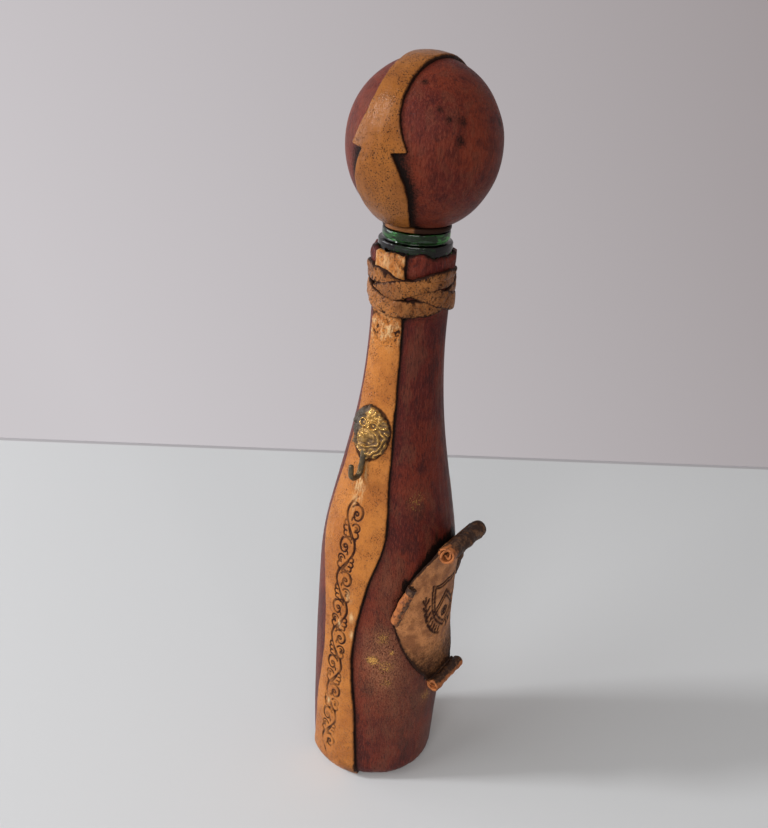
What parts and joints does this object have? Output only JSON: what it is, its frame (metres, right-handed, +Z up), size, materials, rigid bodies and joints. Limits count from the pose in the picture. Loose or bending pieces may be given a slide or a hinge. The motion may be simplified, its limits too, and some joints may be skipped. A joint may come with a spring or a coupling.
{
  "type": "decanter",
  "caption": "Green glass decanter wrapped in maroon and tan leather, with a plaited neck ring, a scroll plaque, a brass lion mask with a hook, and a leather ball stopper that pulls out.",
  "frame": {"origin": "centre of the base, on the underside of the sole that the decanter stands on", "axes": "+Z up along the bottle; the scroll plaque faces -Y and the lion mask faces -X"},
  "size_m": [0.0705, 0.0786, 0.3568],
  "materials": {
    "green_glass": "polished",
    "maroon_leather": "waxed",
    "tan_leather": "satin",
    "plaque_leather": "satin",
    "braid_leather": "satin",
    "brown_leather": "matte",
    "old_brass": "antiqued",
    "wood": "matte",
    "cork": "matte"
  },
  "bodies": {
    "bottle": {"glass_bottle": "green_glass", "sole": "brown_leather", "front_wrap": "maroon_leather", "back_wrap": "maroon_leather", "left_strip": "tan_leather", "right_strip": "tan_leather", "scroll_plaque": "plaque_leather", "lion_mask": "old_brass", "cup_hook": "old_brass", "neck_braid_1": "braid_leather", "neck_braid_2": "braid_leather", "neck_braid_3": "braid_leather"},
    "stopper": {"stopper_core": "wood", "stopper_cork": "cork", "stopper_washer": "brown_leather", "stopper_front_leather": "maroon_leather", "stopper_back_leather": "maroon_leather", "stopper_strip": "tan_leather"}
  },
  "joints": [
    {"name": "stopper_lift", "type": "slide", "parent": "bottle", "child": "stopper", "axis": [0, 0, 1], "range_m": [0, 0.06]}
  ]
}
